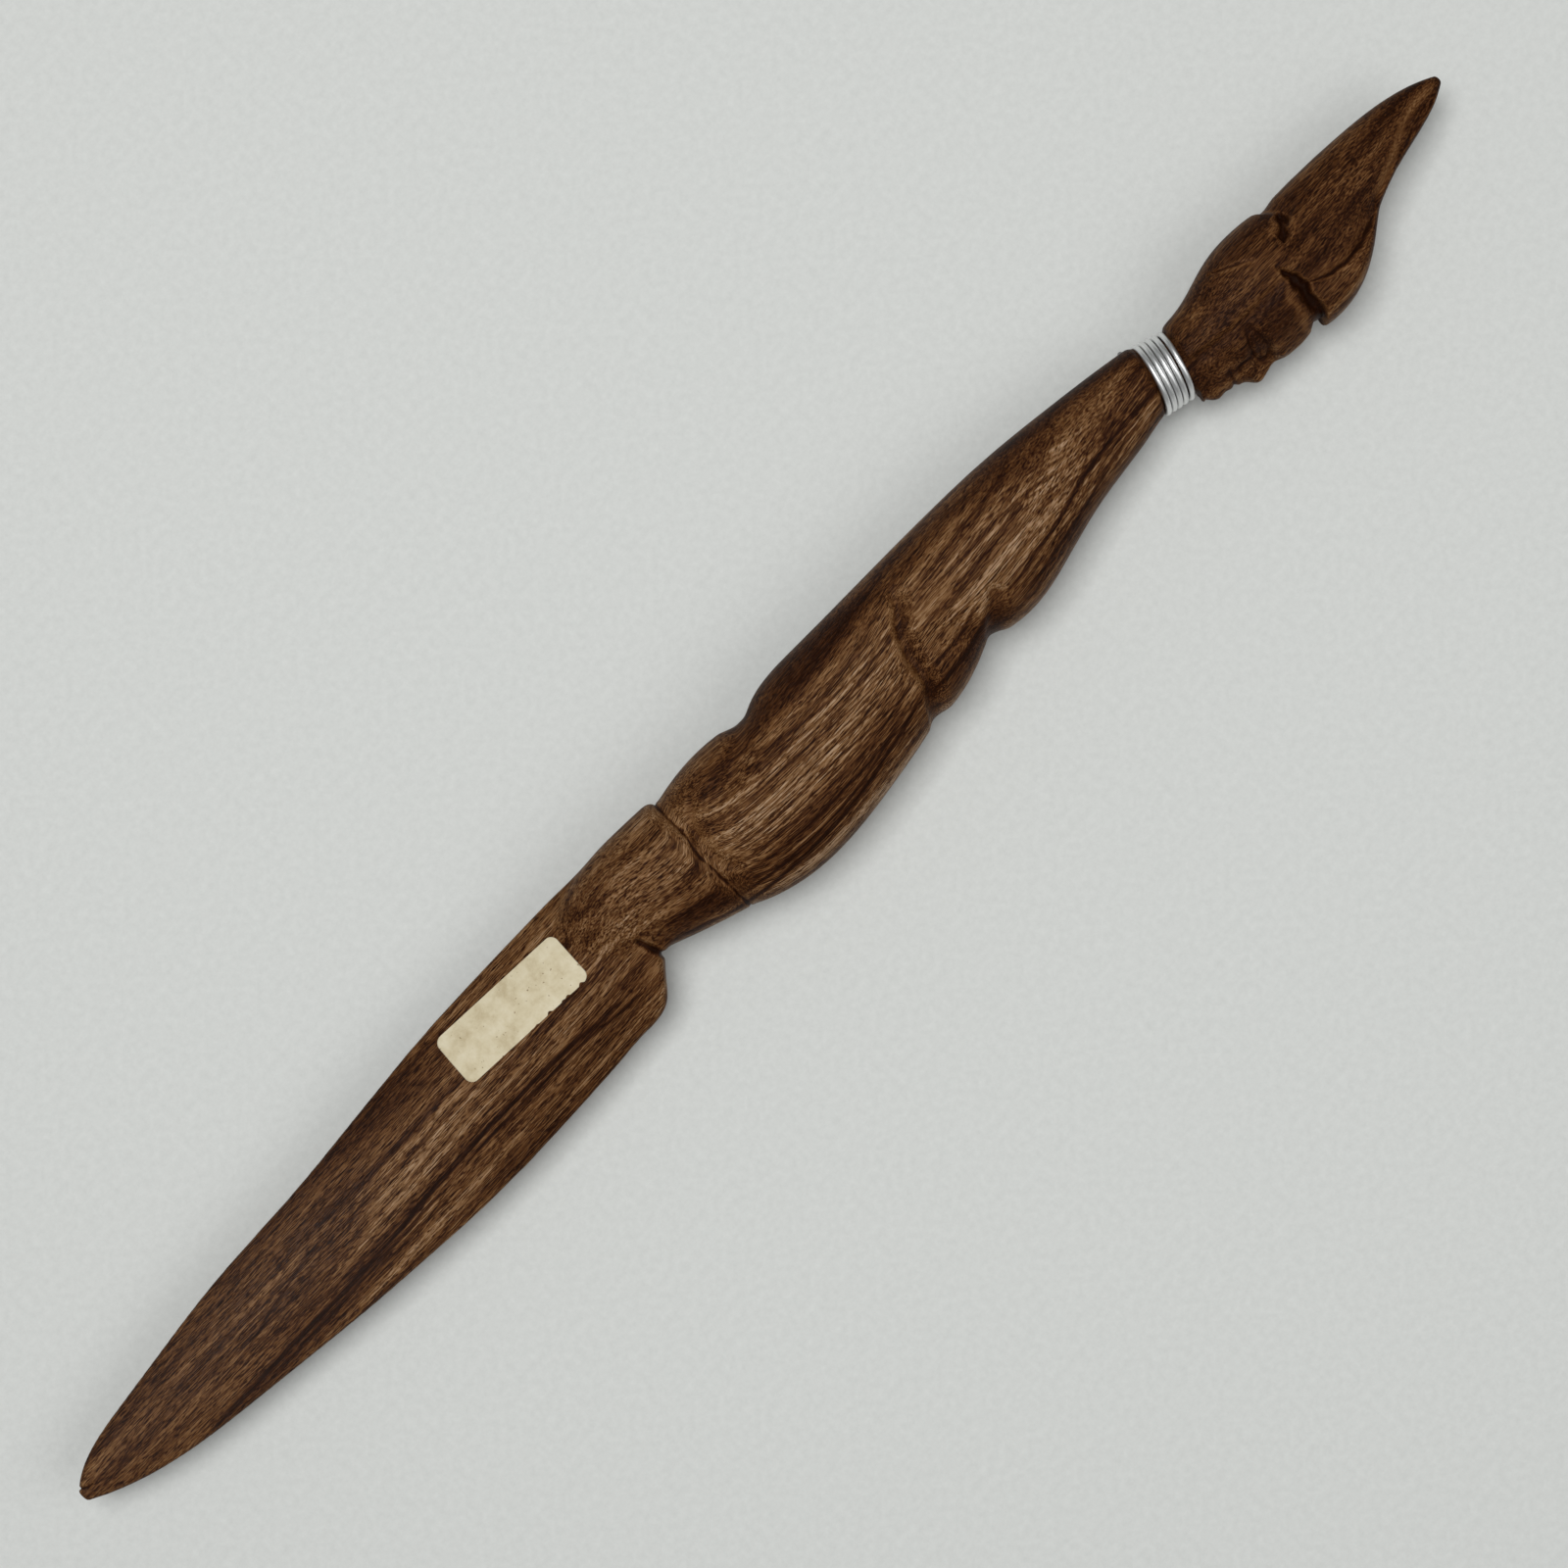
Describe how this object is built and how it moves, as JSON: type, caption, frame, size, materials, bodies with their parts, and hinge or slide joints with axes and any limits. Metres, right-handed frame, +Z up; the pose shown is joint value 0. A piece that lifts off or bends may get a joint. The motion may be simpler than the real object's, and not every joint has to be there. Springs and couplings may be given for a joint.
{
  "type": "letter opener",
  "caption": "Hand-carved wooden letter opener: a leaf-shaped blade whose handle is a stylised standing figure, with aluminium wire wound round its neck and a paper label on the blade.",
  "frame": {"origin": "middle of the opener's bounding box, on the surface it lies on", "axes": "+X from the blade's tip towards the crown of the head, +Y to the figure's back, -Y to its face, +Z up, away from the surface"},
  "size_m": [0.275, 0.0246, 0.0168],
  "materials": {
    "carved_hardwood": "dark brown hardwood, carved, sanded and rubbed with wax to a low satin",
    "drawn_wire": "soft aluminium wire, bright drawn",
    "label_paper": "aged cream paper, blank, with a worn edge"
  },
  "bodies": {
    "root": {"carved_body": "carved_hardwood", "neck_wire": "drawn_wire", "paper_label": "label_paper"}
  },
  "joints": []
}
